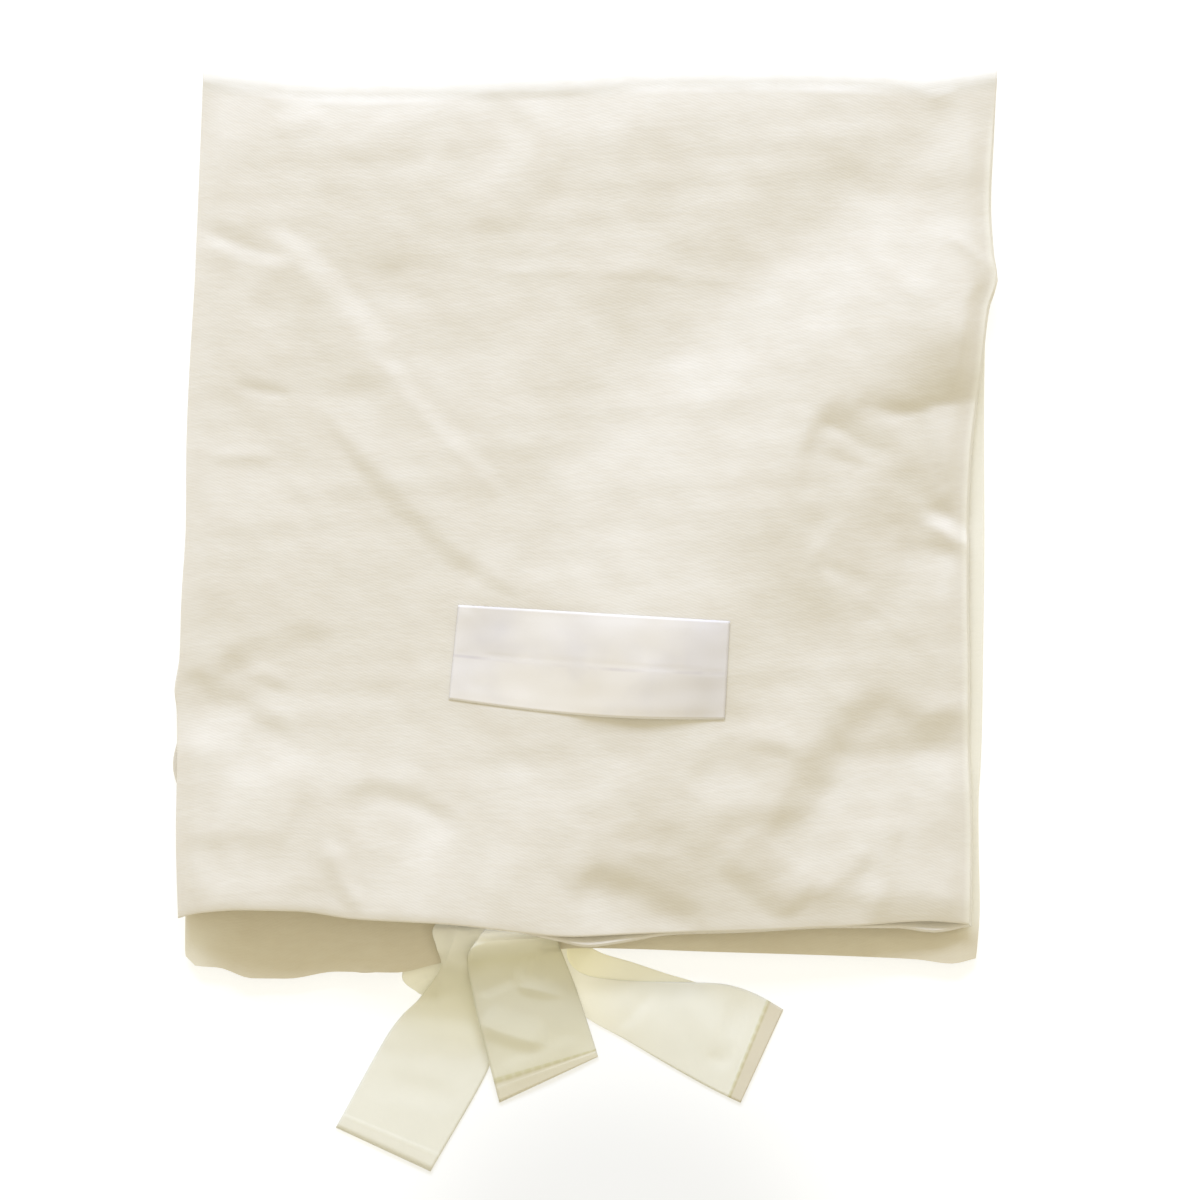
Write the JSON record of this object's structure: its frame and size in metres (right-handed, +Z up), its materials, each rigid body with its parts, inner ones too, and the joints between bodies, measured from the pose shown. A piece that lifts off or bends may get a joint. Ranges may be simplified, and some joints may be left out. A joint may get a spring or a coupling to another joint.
{
  "type": "drawstring bag",
  "caption": "Flat cotton twill pouch folded once in half, with satin ribbon ties coming out of its gathered mouth and a bare sewn-on label on the upper half.",
  "frame": {"origin": "middle of the outline on the surface that the folded bag lies on", "axes": "+Y from the bag's mouth and ties towards its fold, +X to the right of the side that shows the label, +Z up"},
  "size_m": [0.2353, 0.316, 0.0176],
  "materials": {
    "twill": "brushed cotton twill, off-white, matt",
    "label_satin": "woven satin, cool white, soft sheen",
    "ribbon": "thin plain-woven ribbon, ivory, slightly sheer"
  },
  "bodies": {
    "root": {"front_panel": "twill", "back_panel": "twill", "label": "label_satin", "tie_left": "ribbon", "tie_middle": "ribbon", "tie_right": "ribbon", "tie_tucked": "ribbon"}
  },
  "joints": []
}
